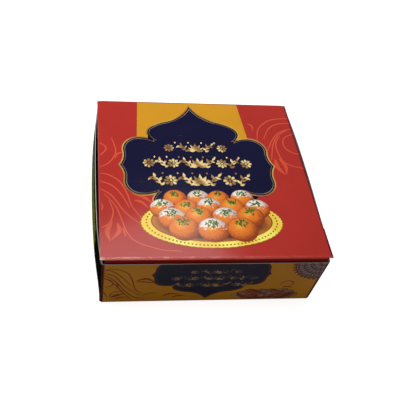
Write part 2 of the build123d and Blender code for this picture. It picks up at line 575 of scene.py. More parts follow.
def putPieces(start, pieces, sheet, body):
    for name, (data, material) in pieces.items():
        putPiece(f"{start}_{name}", data, material, sheet, body)


# Geometry Nodes trees; neighbours that overlap differ in height by a small step, in millimetres
neighbourStep = 0.0025


def treeGroup(name, extra):
    takes = [("Geometry", "NodeSocketGeometry"), ("Top", number, 0.05)] + extra
    takes += [("Material", "NodeSocketMaterial")]
    return newGroup(name, takes, [("Geometry", "NodeSocketGeometry")], "GeometryNodeTree")


def closeTree(bench, geometry, entry, leave):
    real = bench.add("GeometryNodeRealizeInstances", {"Geometry": geometry}).outputs[0]
    flat = bench.add("GeometryNodeSetShadeSmooth", {"Geometry": real, "Shade Smooth": False}).outputs[0]
    done = bench.add("GeometryNodeSetMaterial", {"Geometry": flat, "Material": entry["Material"]}).outputs[0]
    bench.plug(leave["Geometry"], done)


# Strokes of the pen: edges with a width at each point become flat closed ribbons
def makeStrokeTree():
    tree, bench, entry, leave = treeGroup("Pen Strokes", [("Boldness", number, 1.0)])
    paths = bench.add("GeometryNodeMeshToCurve", {"Mesh": entry["Geometry"]}).outputs[0]
    wide = bench.add("GeometryNodeInputNamedAttribute", {"Name": "wide"}, data_type="FLOAT").outputs[0]
    profile = bench.add("GeometryNodeCurvePrimitiveQuadrilateral", {"Width": 1.0, "Height": 1.0}).outputs[0]
    plugs = {"Curve": paths, "Profile Curve": profile, "Scale": bench.times(wide, entry["Boldness"]),
             "Fill Caps": True}
    ribbon = bench.add("GeometryNodeCurveToMesh", plugs).outputs[0]
    x, y, z = bench.split(bench.add("GeometryNodeInputPosition").outputs[0])
    lift = bench.add("GeometryNodeInputNamedAttribute", {"Name": "lift"}, data_type="FLOAT").outputs[0]
    height = bench.times(bench.math("GREATER_THAN", z, 0.0), bench.plus(entry["Top"], lift))
    flat = bench.add("GeometryNodeSetPosition", {"Geometry": ribbon, "Position": bench.join(x, y, height)})
    closeTree(bench, flat.outputs[0], entry, leave)
    return tree


def repeatShape(bench, entry, leave, points, shape, angle, length):
    turn = bench.add("FunctionNodeEulerToRotation", {"Euler": bench.join(0.0, 0.0, angle)}).outputs[0]
    unit = bench.add("GeometryNodeObjectInfo", {"Object": entry[shape]}).outputs["Geometry"]
    index = bench.add("GeometryNodeInputIndex").outputs[0]
    step = bench.times(bench.math("MODULO", index, 3.0), neighbourStep)
    size = bench.join(length, entry["Width"], bench.plus(entry["Top"], step))
    plugs = {"Points": points, "Instance": unit, "Rotation": turn, "Scale": size}
    closeTree(bench, bench.add("GeometryNodeInstanceOnPoints", plugs).outputs[0], entry, leave)


# Petals round a centre
def makePetalTree():
    extra = [("Petal", "NodeSocketObject"), ("Count", "NodeSocketInt", 12), ("Radius", number, 10.0),
             ("Start", number, 0.0), ("Step", number, math.radians(30)), ("Length", number, 5.0),
             ("Width", number, 3.0)]
    tree, bench, entry, leave = treeGroup("Petal Ring", extra)
    index = bench.add("GeometryNodeInputIndex").outputs[0]
    angle = bench.plus(entry["Start"], bench.times(index, entry["Step"]))
    place = bench.join(bench.times(bench.math("COSINE", angle), entry["Radius"]),
                       bench.times(bench.math("SINE", angle), entry["Radius"]), 0.0)
    points = bench.add("GeometryNodePoints", {"Count": entry["Count"], "Position": place}).outputs[0]
    repeatShape(bench, entry, leave, points, "Petal", angle, entry["Length"])
    return tree


# Beads, or leaves turned off to one side, along a line
def makeBeadTree():
    extra = [("Bead", "NodeSocketObject"), ("Spacing", number, 2.0), ("Lean", number, 0.0),
             ("Length", number, 1.0), ("Width", number, 1.0)]
    tree, bench, entry, leave = treeGroup("Bead Line", extra)
    paths = bench.add("GeometryNodeMeshToCurve", {"Mesh": entry["Geometry"]}).outputs[0]
    spots = bench.add("GeometryNodeCurveToPoints", {"Curve": paths}, mode="LENGTH")
    bench.plug(spots.inputs["Length"], entry["Spacing"])
    tangent = bench.split(spots.outputs["Tangent"])
    index = bench.add("GeometryNodeInputIndex").outputs[0]
    flip = bench.minus(bench.times(bench.math("MODULO", index, 2.0), 2.0), 1.0)
    lean = bench.times(flip, entry["Lean"])
    angle = bench.plus(bench.math("ARCTAN2", tangent[1], tangent[0]), lean)
    repeatShape(bench, entry, leave, spots.outputs["Points"], "Bead", angle, entry["Length"])
    return tree


# Slivers strewn at random over a flat shape
strewing = {"lengths": (0.7, 1.25), "turns": 17}


def makeStrewTree(settings):
    extra = [("Sliver", "NodeSocketObject"), ("Density", number, 1.0), ("Seed", "NodeSocketInt", 1),
             ("Length", number, 2.0), ("Width", number, 0.6)]
    tree, bench, entry, leave = treeGroup("Strewn Slivers", extra)
    plugs = {"Mesh": entry["Geometry"], "Density": entry["Density"], "Seed": entry["Seed"]}
    points = bench.add("GeometryNodeDistributePointsOnFaces", plugs).outputs["Points"]
    chance = bench.add("FunctionNodeRandomValue", {"Seed": entry["Seed"]}).outputs[1]
    grown = bench.times(entry["Length"], bench.between(chance, *settings["lengths"]))
    angle = bench.times(chance, settings["turns"] * math.tau)
    repeatShape(bench, entry, leave, points, "Sliver", angle, grown)
    return tree


strokeTree = makeStrokeTree()
petalTree = makePetalTree()
beadTree = makeBeadTree()
strewTree = makeStrewTree(strewing)


def runTree(tree, source=None, **values):
    holder = bpy.data.objects.new("maker", source or bpy.data.meshes.new("maker"))
    scene.collection.objects.link(holder)
    maker = holder.modifiers.new("maker", "NODES")
    maker.node_group = tree
    for item in tree.interface.items_tree:
        if item.in_out == "INPUT" and item.name in values:
            maker[item.identifier] = values[item.name]
    ready = bpy.context.evaluated_depsgraph_get()
    data = bpy.data.meshes.new_from_object(holder.evaluated_get(ready), depsgraph=ready)
    holder.modifiers.remove(maker)
    bpy.data.objects.remove(holder)
    return data


# Unit shapes that the trees repeat: 1 long, 1 wide and 1 high
def unitShape(name, widthAt, points=9):
    shares = [step / points for step in range(points + 1)]
    lower = [(share, -0.5 * widthAt(share)) for share in shares[:-1]]
    upper = [(share, 0.5 * widthAt(share)) for share in shares[1:]][::-1]
    shape = bpy.data.objects.new(name, slabMesh(lower + upper, 1.0))
    scene.collection.objects.link(shape)
    return shape


leafShape = unitShape("unitLeaf", lambda share: math.sin(math.pi * share ** 0.8) ** 1.2)
dropShape = unitShape("unitDrop", lambda share: 2.2 * share ** 0.9 * math.sqrt(1 - share))
dotShape = unitShape("unitDot", lambda share: 2 * math.sqrt(share - share * share))
gemShape = unitShape("unitGem", lambda share: 1 - abs(2 * share - 1), 2)
unitShapes = leafShape, dropShape, dotShape, gemShape
print("tree groups built")


# Pen strokes: each curls with a bend that grows evenly along its length
def curlPoints(start, heading, length, firstBend, lastBend, steps=28):
    points, place, angle = [Vector(start)], Vector(start), math.radians(heading)
    for step in range(steps):
        share = (step + 0.5) / steps
        angle += math.radians(firstBend + (lastBend - firstBend) * share) / steps
        place = place + Vector((math.cos(angle), math.sin(angle))) * (length / steps)
        points.append(place)
    return points


def smoothPath(marks, steps=8):  # an even curve through the marks
    marks = [Vector(mark) for mark in marks]
    ends = [2 * marks[0] - marks[1]] + marks + [2 * marks[-1] - marks[-2]]
    path = []
    for before, start, end, after in zip(ends, ends[1:], ends[2:], ends[3:]):
        for step in range(steps):
            share = step / steps
            linear, square = (end - before) / 2, before - 2.5 * start + 2 * end - after / 2
            cube = 1.5 * (start - end) + (after - before) / 2
            path.append(start + linear * share + square * share ** 2 + cube * share ** 3)
    return path + [marks[-1]]


# Each stroke is its points, its width, how its ends taper, and where it is widest
pen = {
    "tip": 0.06,  # how blunt the ends are
    "heights": 6,  # how many heights the strokes take in turn
    # taper and skew of each kind of stroke
    "line": (0.35, 1.0),
    "leaf": (1.1, 0.85),
    "rib": (0.5, 1.0),
    "stem": (0.6, 1.0),
    "ribShare": 0.2,  # of a leaf's width
}


def strokeMesh(strokes):
    data = bpy.data.meshes.new("strokes")
    points, edges, widths, lifts = [], [], [], []
    for order, (path, width, taper, skew) in enumerate(strokes):
        base = len(points)
        for here, point in enumerate(path):
            share = pen["tip"] + (1 - 2 * pen["tip"]) * (here / (len(path) - 1)) ** skew
            points.append((point[0], point[1], 0.0))
            widths.append(width * math.sin(math.pi * share) ** taper)
            lifts.append(order % pen["heights"] * neighbourStep)
        edges += [(base + here, base + here + 1) for here in range(len(path) - 1)]
    data.from_pydata(points, edges, [])
    data.attributes.new("wide", "FLOAT", "POINT").data.foreach_set("value", widths)
    data.attributes.new("lift", "FLOAT", "POINT").data.foreach_set("value", lifts)
    return data


def petalRing(shape, count, radius, length, width, top, material, start=0.0, step=None):
    return runTree(petalTree, Petal=shape, Count=count, Radius=radius, Length=length, Width=width, Top=top,
                   Start=start, Step=step or math.tau / count, Material=material)


def mirrored(strokes, middle=0.0):
    return [([Vector((2 * middle - point[0], point[1])) for point in path], *rest) for path, *rest in strokes]


def moved(data, place, size=(1, 1)):
    data.transform(Matrix.Translation((place[0], place[1], 0)) @ Matrix.Diagonal((size[0], size[1], 1, 1)))
    return data


# Levels of the print over the board, in millimetres
level = {
    "points": 0.012, "scroll": 0.02, "ground": 0.026, "leaf": 0.03, "rib": 0.04, "band": 0.06, "rim": 0.065,
    "field": 0.07, "dark": 0.075, "line": 0.08, "flourish": 0.085, "plate": 0.1, "well": 0.11, "beads": 0.12,
    "sweets": 0.13, "sweetStep": 0.008, "sliver": 0.006,
}

palette = {
    "red": ink(180, 47, 39),
    # painted shade: the tuck flap's red is darkened to stand for the shadow in the gap under the lid's front
    # fold
    "tuckRedShaded": ink(146, 32, 27),
    "rubbedAndLit": ink(236, 158, 146),
    "ochre": ink(212, 150, 32),
    "navy": ink(12, 10, 50),
    "outline": ink(14, 11, 20),
    "scroll": ink(215, 87, 61),
    "leaf": ink(213, 79, 42),
    "wallOchre": ink(196, 128, 20),
    "wallNavy": ink(30, 24, 46),
    "wallLine": ink(128, 60, 10),
    "wallLeaf": ink(142, 56, 14),
    "wallDim": ink(84, 68, 62),
    "mandala": ink(144, 116, 110),
    "mandalaGround": ink(72, 52, 48),
    "corner": ink(98, 26, 18),
    "edgeShade": ink(92, 12, 34),
    "frayed": ink(206, 176, 158),
    "hingeShade": ink(62, 28, 34),
    "tab": ink(206, 202, 194),
    "sideGround": ink(16, 18, 11),
    "sidePanel": ink(116, 140, 48),
    "sideLine": ink(186, 152, 74),
}
sheens = {"lid": 1.0, "folds": 0.6, "walls": 0.35, "bare": 0.2, "sides": 0.0}


def goldColour(pale, deep, bandWidth):
    def shade(bench, place):
        plugs = {"Vector": place, "Band": bandWidth * mm, "Pale": pale, "Deep": deep}
        return bench.group(goldInkAndSheen, plugs)["Colour"]
    return shade


# Painted shade along the hinge: the print is darkened where the lid's board bends down at the back
hingeDark = {"reach": 1.1, "full": 0.2, "share": 0.6}


def nearHinge(bench, place, tone):
    off = bench.minus(bench.vector("DOT_PRODUCT", place, lidFront), lidBack)
    near = bench.rise(off, hingeDark["reach"] * mm, hingeDark["full"] * mm)
    return bench.blend(bench.times(near, hingeDark["share"]), tone, palette["hingeShade"])


def bandColour(bench, place):
    return nearHinge(bench, place, palette["ochre"])


# Inks of the lid and of the walls; each tone is a colour or a shade, and may have a mottle of its own
inkTones = {
    "lid": {
        "ochre": (bandColour, 0.05),
        "navy": (palette["navy"], 0.1),
        "outline": (palette["outline"],),
        "scroll": (palette["scroll"],),
        "leaf": (palette["leaf"],),
        "line": (goldColour(ink(206, 164, 88), ink(150, 108, 58), 60),),
        "fineLine": (goldColour(ink(176, 158, 134), ink(128, 108, 92), 40),),
        "flourish": (goldColour(ink(240, 214, 146), ink(152, 114, 64), 13),),
    },
    "walls": {
        "navy": (palette["wallNavy"], 0.1),
        "line": (palette["wallLine"],),
        "scroll": (palette["wallLine"],),
        "leaf": (palette["wallLeaf"],),
        "fineLine": (palette["wallDim"],),
        "flourish": (goldColour(ink(150, 120, 86), ink(84, 64, 62), 11),),
        "mandala": (palette["mandala"],),
        "mandalaGround": (palette["mandalaGround"], 0.1),
    },
}


def makeInks(where, tones):
    return {name: layerMaterial(f"{where} {name} ink", *tone, sheen=sheens[where])
            for name, tone in tones.items()}


lidInks, wallInks = (makeInks(where, tones) for where, tones in inkTones.items())


# Ochre band from the back edge to the shoulders of the cartouche, a little wider towards the front
band = {"middle": -5.6, "backHalf": 47.3, "frontHalf": 50.4, "length": 49.5}


def makeBand(settings):
    front, back = settings["frontHalf"], settings["backHalf"]
    corners = [(settings["middle"] + half, -along) for half, along in (
        (-front, settings["length"]), (front, settings["length"]), (back, 0), (-back, 0))]
    putPiece("lid_ochre_band", slabMesh(corners, level["band"]), lidInks["ochre"], lidSheet, "lid")


# A quarter of the pointed, lobed field, from its top point to its right-hand one: shares of the half width
# and half height, and the sag of the arc that follows as a share of its chord
quarterShares = ((0, 1, -0.115), (0.358, 0.714, 0.055), (0.56, 0.62, 0.12), (0.616, 0.507, 0.1),
                 (0.502, 0.372, 0.085), (0.746, 0.44, 0.235), (0.945, 0.2, -0.085), (1, 0, 0))

cartouche = {
    "middle": (-4.8, -80.2),
    "halfSize": (67.0, 75.0),
    # outer and inner edge of each line round the field as offsets from it, its level and its ink
    "lines": {
        "rim": (1.15, -0.3, "rim", "line"),
        "dark": (0.0, -1.15, "dark", "outline"),
        "fineLine": (-1.25, -1.65, "line", "fineLine"),
    },
}


def cartoucheLoop(middle, halfSize):
    quarter = arcChain([(x * halfSize[0], y * halfSize[1], sag) for x, y, sag in quarterShares])
    lower = [Vector((point.x, -point.y)) for point in quarter[::-1]]
    right = quarter + [Vector((halfSize[0], 0))] + lower
    left = [Vector((-point.x, point.y)) for point in right[::-1][1:-1]]
    return [point + Vector(middle) for point in (right + left)[::-1]]


def cartouchePieces(settings, inks):
    loop = cartoucheLoop(settings["middle"], settings["halfSize"])
    pieces = {"cartouche": (slabMesh(loop, level["field"]), inks["navy"])}
    for name, (outer, inner, height, inkName) in settings["lines"].items():
        ring = ringMesh(offsetLoop(loop, outer), offsetLoop(loop, inner), level[height])
        pieces[f"cartouche_{name}"] = ring, inks[inkName]
    return pieces


makeBand(band)
putPieces("lid", cartouchePieces(cartouche, lidInks), lidSheet, "lid")
print("lid field printed")


# Scrolls on the red ground: long curves that flow in from the edges, and leaves with a rib
lidScrolls = {
    "sideMargin": 1.5,
    "frontMargin": 2.0,
    "width": 1.15,
    "lines": (
        ((-94, -91), (-84, -91), (-73, -99), (-67, -113), (-64, -125), (-56, -139)),
        ((-94, -97), (-80, -103), (-72, -113), (-66, -127)),
        ((-94, -104), (-80, -114), (-70, -131), (-57, -144)),
        ((-86, -112), (-77, -125), (-72, -141), (-69, -151), (-62, -160), (-45, -167), (-28, -169)),
        ((-82, -119), (-79, -131), (-83, -143), (-94, -149)),
        ((-94, -116), (-87, -126), (-94, -134)),
        ((-78, -48), (-75, -65), (-81, -78), (-94, -86)),
        ((-94, -51), (-83, -61), (-94, -76)),
        ((-72, -147), (-71, -151), (-70, -155)),
        ((94, -18), (78, -19), (67, -23), (57, -34), (53, -50)),
        ((94, -24), (77, -26), (67, -33), (60, -46)),
        ((94, -30), (77, -37), (68, -47), (60, -62)),
        ((84, -34), (74, -42), (67, -54), (62, -72)),
        ((76, -42), (70, -52), (70, -66), (75, -77), (94, -84)),
        ((94, -37), (80, -44), (77, -55), (83, -63), (94, -66)),
    ),
    # width and marks of each leaf
    "leaves": (
        (4.2, (-80, -140), (-84, -150), (-82, -159)),
        (3.6, (-76, -142), (-75, -150), (-81, -158)),
        (3.0, (-63, -112), (-54, -116), (-46, -123)),
        (2.6, (-62, -119), (-56, -121), (-51, -127)),
        (2.4, (-76, -73), (-74, -68), (-68, -65)),
        (2.6, (-73, -79), (-69, -76), (-66, -70)),
        (4.0, (65, -71), (66, -82), (71, -90)),
        (3.4, (69, -70), (73, -80), (72, -89)),
        (1.8, (48, -26), (52, -30), (51, -36)),
    ),
}


def scrollStrokes(settings):
    lines = [(smoothPath(marks), settings["width"], *pen["line"]) for marks in settings["lines"]]
    leaves = [(smoothPath(marks), width, *pen["leaf"]) for width, *marks in settings["leaves"]]
    ribs = [(path, width * pen["ribShare"], *pen["rib"]) for path, width, _, _ in leaves]
    return lines, leaves, ribs


def scrollPieces(settings, inks):
    lines, leaves, ribs = (strokeMesh(strokes) for strokes in scrollStrokes(settings))
    lines = runTree(strokeTree, lines, Top=level["scroll"], Material=inks["scroll"])
    leaves = runTree(strokeTree, leaves, Top=level["leaf"], Material=inks["leaf"])
    ribs = runTree(strokeTree, ribs, Top=level["rib"], Material=inks["scroll"])
    return {"scrolls": (gather((lines, ribs)), inks["scroll"]), "scroll_leaves": (leaves, inks["leaf"])}


def makeLidScrolls(settings):
    side = lidHalf - settings["sideMargin"]
    edges = limits(-side, side, settings["frontMargin"] - lidLength, 0)
    putPieces("lid", trimmed(scrollPieces(settings, lidInks), edges), lidSheet, "lid")


makeLidScrolls(lidScrolls)
print("scrolls drawn")


# Gold frieze in the middle of the cartouche: rows of flowers and leafy sprigs about a lotus
frieze = {
    "middle": (-4.8, -79.0),
    # height over the middle, motifs on each side of the lotus, their spacing and size
    "rows": ((19.5, 2, 11.8, 0.94), (1.2, 4, 10.6, 1.06), (-18.4, 3, 12.6, 1.2)),
    # turn from upright, length and width of each pair of lotus petals
    "lotus": ((80, 6.4, 2.0), (54, 7.8, 2.5), (27, 9.0, 2.9), (0, 9.8, 3.3)),
    "lotusFoot": -4.6,
    # petals, radius, length and width of each ring of the flower
    "flower": ((8, 1.3, 3.6, 2.4), (8, 0.0, 1.0, 0.8)),
    "sprigFoot": (-3.4, -4.8),
    "stem": (82, 11.0, -6, -150),  # heading, length, first and last bend
    "stemWidth": 1.1,
    "sprigLeaf": (4.5, 1.95),
    "sprigSpacing": 2.1,
    "sprigLean": 50,
    "gem": (2.6, 1.8),
    "gemLift": 5.6,
}


def lotusMesh(settings, material, top):
    parts = []
    for order, (turn, length, width) in enumerate(settings["lotus"]):
        petals = petalRing(leafShape, 2 if turn else 1, 1.0, length, width, top + order * neighbourStep * 2,
                           material, math.radians(90 - turn), math.radians(2 * turn))
        parts.append(moved(petals, (0, settings["lotusFoot"])))
    return gather(parts)


def sprigMesh(settings, side, material, top):
    stem = [(curlPoints(settings["sprigFoot"], *settings["stem"]), settings["stemWidth"], *pen["stem"])]
    if side < 0:
        stem = mirrored(stem)
    length, width = settings["sprigLeaf"]
    leaves = runTree(beadTree, strokeMesh(stem), Top=top, Bead=leafShape, Spacing=settings["sprigSpacing"],
                     Length=length, Width=width, Lean=math.radians(settings["sprigLean"]), Material=material)
    lines = runTree(strokeTree, strokeMesh(stem), Top=top + 4 * neighbourStep, Material=material)
    return gather((leaves, lines))


def friezeMesh(settings, material):
    top = level["flourish"]
    motifs = {
        "lotus": lotusMesh(settings, material, top),
        "flower": gather([petalRing(dropShape, *ring, top, material) for ring in settings["flower"]]),
        "left": sprigMesh(settings, -1, material, top),
        "right": sprigMesh(settings, 1, material, top),
        "gem": petalRing(gemShape, 1, 0.0, *settings["gem"], top, material, math.pi / 2),
    }
    parts = []
    for height, reach, spacing, size in settings["rows"]:
        for order in range(-reach, reach + 1):
            kind = "lotus" if order == 0 else "flower" if order % 2 == 0 else "right" if order > 0 else "left"
            parts.append(moved(motifs[kind].copy(), (order * spacing, height), (size, size)))
            if order:
                gemSpot = (order - math.copysign(0.5, order)) * spacing, height + settings["gemLift"] * size
                parts.append(moved(motifs["gem"].copy(), gemSpot))
    return gather(parts)


lidFrieze = moved(friezeMesh(frieze, lidInks["flourish"]), frieze["middle"])
putPiece("lid_frieze", lidFrieze, lidInks["flourish"], lidSheet, "lid")
print("frieze drawn")


# Gold dish of round sweets, printed over the foot of the cartouche
dish = {
    "middle": (-0.8, -141.8),
    "halfSize": (57.0, 24.6),
    "corners": (240, 96, 10),  # of the plate's edge, of the other ovals and of the ground under slivers
    "lobes": 60,
    "lobeShare": 0.012,
    "rimLine": 0.55,
    "wellShare": (0.85, 0.8),
    "wellLift": 1.5,
    "wellLine": (0.7, -0.3),  # offsets of its edges from the well's edge
    "beadShare": 0.925,
    "beadLift": 0.75,
    "beadSpacing": 3.0,
    "beadSize": 1.5,
    # height over the middle, sweets in the row, their radius and the gap between middles
    "rows": ((24.0, 4, 9.6, 18.6), (14.6, 5, 10.4, 19.4), (4.6, 4, 11.4, 21.8), (-6.6, 3, 12.4, 24.4)),
    "squash": 0.96,
    "jitter": 1.1,
    "seed": 5,
    # the patch that the slivers lie on: lift, half width and half height as shares of the sweet's radius
    "patch": (0.52, 0.4, 0.28),
    # seed, density, length and width of each strewing
    "garnish": ((7, 0.5, 2.5, 1.15), (8, 0.4, 2.0, 1.0)),
}


def discMarks(mesh):
    return {"map": mesh.loops.layers.uv.new("discMap"),
            "values": [mesh.verts.layers.float.new(name) for name in ("topping", "blush")]}


def addDisc(mesh, marks, middle, half, top, values, rings=3, count=28):
    def spot(share, angle, height):
        vertex = mesh.verts.new((middle[0] + half[0] * share * math.cos(angle),
                                 middle[1] + half[1] * share * math.sin(angle), height))
        for layer, value in zip(marks["values"], values):
            vertex[layer] = value
        return vertex

    hub = spot(0, 0, top)
    angles = [math.tau * step / count for step in range(count)]
    circles = [[spot(ring / rings, angle, top) for angle in angles] for ring in range(1, rings + 1)]
    circles.append([spot(1, angle, 0) for angle in angles])
    faces = [mesh.faces.new(circles[-1][::-1])]
    for step in range(count):
        ahead = (step + 1) % count
        faces.append(mesh.faces.new((hub, circles[0][step], circles[0][ahead])))
        for inner, outer in zip(circles, circles[1:]):
            faces.append(mesh.faces.new((inner[step], outer[step], outer[ahead], inner[ahead])))
    for face in faces:
        for loop in face.loops:
            offset = loop.vert.co.xy - Vector(middle)
            loop[marks["map"]].uv = (offset.x / half[0], offset.y / half[1])


# Sweets are lit from the upper left, where places run from -1 to 1 across each sweet
sweetLook = {
    "light": (-0.2, 0.3),
    "crumbs": 640.0,
    "crumbMiddle": 0.4,
    "crumbShare": 0.3,
    "blushShare": 0.16,
    "litBounds": (0.1, 0.7),
    "deepBounds": (0.72, 1.35),
    "cap": {"scale": 420, "detail": 4, "roughness": 0.65},
    "capShare": 2.1,
    "capBounds": (0.2, 0.36),
    "creamBounds": (0.3, 1.1),
    "rimBounds": (0.9, 1.02),
    "rimShare": 0.6,
}


def sweetShade(tones, settings=sweetLook):
    def shade(bench, place):
        u, v, _ = bench.split(bench.add("ShaderNodeTexCoord").outputs["UV"])
        lightU, lightV = settings["light"]
        fromLight = bench.vector("LENGTH", bench.join(bench.minus(u, lightU), bench.minus(v, lightV), 0.0))
        fromMiddle = bench.vector("LENGTH", bench.join(u, v, 0.0))
        cells = {"Vector": place, "Scale": settings["crumbs"]}
        crumbs = bench.add("ShaderNodeTexVoronoi", cells).outputs["Distance"]
        blush, topping = (bench.add("ShaderNodeAttribute", attribute_name=name).outputs["Fac"]
                          for name in ("blush", "topping"))
        crumbs = bench.times(bench.minus(crumbs, settings["crumbMiddle"]), settings["crumbShare"])
        dark = bench.plus(fromLight, crumbs, bench.times(blush, settings["blushShare"]))
        body = bench.blend(bench.rise(dark, *settings["litBounds"]), tones["lit"], tones["middle"])
        body = bench.blend(bench.rise(dark, *settings["deepBounds"]), body, tones["deep"])
        wander = bench.minus(bench.noise(place, **settings["cap"]), 0.5)
        cover = bench.rise(bench.plus(v, bench.times(wander, settings["capShare"])), *settings["capBounds"])
        cream = bench.blend(bench.rise(dark, *settings["creamBounds"]), tones["cream"], tones["creamDeep"])
        tone = bench.blend(bench.times(cover, topping), body, cream)
        rim = bench.times(bench.rise(fromMiddle, *settings["rimBounds"]), settings["rimShare"])
        return bench.blend(rim, tone, tones["deep"])
    return shade


wellLook = {
    "squash": 0.96,
    "drop": 0.1,
    "noise": {"scale": 130, "detail": 3, "roughness": 0.6},
    "noiseShare": 0.16,
    "bounds": (0.78, 1.06),
}


def wellShade(edge, deep, settings=wellLook):
    def shade(bench, place):
        u, v, _ = bench.split(bench.add("ShaderNodeTexCoord").outputs["UV"])
        spot = bench.join(bench.times(u, settings["squash"]), bench.plus(v, settings["drop"]), 0.0)
        wander = bench.times(bench.noise(place, **settings["noise"]), settings["noiseShare"])
        reach = bench.plus(bench.vector("LENGTH", spot), wander)
        return bench.blend(bench.rise(reach, *settings["bounds"]), deep, edge)
    return shade


# Two sets of inks for the dish: as on the lid, and the duller ones of the walls
dishTones = {
    "lid": {
        "plate": goldColour(ink(255, 244, 112), ink(247, 212, 78), 34),
        "line": goldColour(ink(176, 112, 28), ink(140, 84, 24), 30),
        "well": wellShade(ink(202, 118, 46), ink(92, 48, 34)),
        "sweet": sweetShade({"lit": ink(250, 170, 66), "middle": ink(232, 124, 38), "deep": ink(150, 60, 26),
                             "cream": ink(250, 247, 242), "creamDeep": ink(206, 180, 170)}),
        "nut": ink(62, 98, 34),
        "paleNut": ink(134, 162, 66),
    },
    "walls": {
        "plate": goldColour(ink(176, 140, 88), ink(130, 88, 46), 30),
        "line": ink(112, 66, 32),
        "well": wellShade(ink(124, 62, 34), ink(70, 34, 28)),
        "sweet": sweetShade({"lit": ink(178, 92, 46), "middle": ink(148, 64, 34), "deep": ink(86, 34, 24),
                             "cream": ink(170, 150, 134), "creamDeep": ink(120, 92, 80)}),
        "nut": ink(58, 70, 36),
        "paleNut": ink(92, 98, 52),
    },
}
nutMottle = 0.3


def makeDishInks(where, tones):
    inks = {}
    for name, tone in tones.items():
        mottle = nutMottle if name in ("nut", "paleNut") else inkLook["mottle"]
        sheen = sheens["lid" if name == "well" else where]
        inks[name] = layerMaterial(f"{where} {name} ink", tone, mottle, sheen)
    return inks


def sweetSpots(settings):
    chance = random.Random(settings["seed"])
    spots = []
    for lift, count, radius, gap in settings["rows"]:
        for order in range(count):
            shift = [chance.uniform(-1, 1) * settings["jitter"] for axis in range(2)]
            x = (order - (count - 1) / 2) * gap + shift[0]
            dressed = float((len(spots) + count) % 2)
            spots.append((Vector((x, lift + shift[1])), radius, (dressed, chance.random())))
    return spots


def dishPieces(settings, inks, place, size=(1, 1)):
    half = Vector(settings["halfSize"])
    edgeCorners, ovalCorners, patchCorners = settings["corners"]
    wellMiddle = 0, settings["wellLift"]
    wellHalf = half.x * settings["wellShare"][0], half.y * settings["wellShare"][1]
    edge = ellipseLoop((0, 0), half.x, half.y, edgeCorners, settings["lobes"], settings["lobeShare"])
    rim = ellipseLoop(wellMiddle, *wellHalf, ovalCorners)
    outer, inner = (offsetLoop(rim, offset) for offset in settings["wellLine"])
    beadHalf = half * settings["beadShare"]
    bead = ellipseLoop((0, settings["beadLift"]), beadHalf.x, beadHalf.y, ovalCorners)
    beads = runTree(beadTree, strokeMesh([(bead + bead[:1], 1, 1, 1)]), Top=level["beads"], Bead=dotShape,
                    Spacing=settings["beadSpacing"], Length=settings["beadSize"], Width=settings["beadSize"],
                    Lean=0.0, Material=inks["line"])
    lines = [ringMesh(edge, offsetLoop(edge, -settings["rimLine"]), level["beads"]),
             ringMesh(outer, inner, level["beads"]), beads]
    well, sweets, patches = (bmesh.new() for piece in range(3))
    addDisc(well, discMarks(well), wellMiddle, wellHalf, level["well"], (0.0, 0.0), count=ovalCorners)
    marks = discMarks(sweets)
    lift, halfWidth, halfHeight = settings["patch"]
    for order, (spot, radius, values) in enumerate(sweetSpots(settings)):
        top = level["sweets"] + order * level["sweetStep"]
        addDisc(sweets, marks, spot, (radius, radius * settings["squash"]), top, values)
        middle = spot + Vector((0, radius * lift))
        patch = ellipseLoop(middle, radius * halfWidth, radius * halfHeight, patchCorners)
        patches.faces.new([patches.verts.new((point.x, point.y, top)) for point in patch])
    patches = toMesh(patches)
    nuts = [runTree(strewTree, patches.copy(), Top=level["sliver"], Sliver=leafShape, Seed=seed,
                    Density=density, Length=length, Width=width, Material=inks[name])
            for name, (seed, density, length, width) in zip(("nut", "paleNut"), settings["garnish"])]
    pieces = {
        "plate": (slabMesh(edge, level["plate"]), inks["plate"]),
        "plate_well": (toMesh(well), inks["well"]),
        "plate_beading": (gather(lines), inks["line"]),
        "sweets": (toMesh(sweets), inks["sweet"]),
        "nut_slivers": (nuts[0], inks["nut"]),
        "pale_nut_slivers": (nuts[1], inks["paleNut"]),
    }
    return {name: (moved(data, place, size), material) for name, (data, material) in pieces.items()}


lidDish = dishPieces(dish, makeDishInks("lid", dishTones["lid"]), dish["middle"])
putPieces("lid", lidDish, lidSheet, "lid")
print("dish printed")


# Print on the front and back walls
wallArt = {
    "middle": (-2.0, 42.5),
    "halfSize": (47.3, 37.3),
    "lines": {"rim": (0.6, -0.3, "rim", "line"), "line": (-1.0, -1.35, "line", "fineLine")},
    "topMargin": 0.25,
    "footMargin": 1.1,
    "friezePlace": (1.0, 36.0),
    "friezeSize": (0.74, 0.52),
    "dishPlace": (48.0, 8.6),
    "dishSize": (0.5, 0.3),
}

wallScrolls = {
    "width": 1.05,
    "lines": (
        ((-94, 48), (-82, 44), (-76, 38), (-69, 25), (-57, 11)),
        ((-94, 51), (-81, 49), (-72, 39), (-65, 27)),
        ((-85, 51), (-76, 51), (-68, 45), (-64, 34), (-61, 21), (-55, 14)),
        ((-94, 45), (-84, 41), (-77, 33), (-70, 20), (-62, 9), (-52, 5)),
        ((-94, 42), (-84, 37), (-77, 28), (-70, 15), (-63, 4)),
        ((-88, 38), (-82, 36), (-79, 31), (-81, 26), (-85, 25)),
        ((-77, 32), (-75, 27), (-76, 22)),
        ((-94, 27), (-87, 19), (-83, 9)),
        ((-81, 8), (-80, 14), (-76, 18), (-70, 18)),
        ((-55, 11), (-49, 14), (-42, 14)),
        ((57, 25), (62, 31), (68, 28), (66, 22)),
    ),
    "leaves": (
        (2.6, (-61, 34), (-53, 37), (-45, 30)),
        (1.8, (-61, 33), (-53, 32), (-45, 30)),
        (3.2, (-80, 8), (-75, 12), (-69, 14)),
        (1.8, (-77, 6), (-72, 8), (-67, 9)),
        (1.8, (-38, 9), (-32, 13), (-24, 12)),
        (1.6, (-30, 7), (-25, 10), (-19, 9)),
        (1.6, (60, 20), (64, 22), (69, 20)),
    ),
}

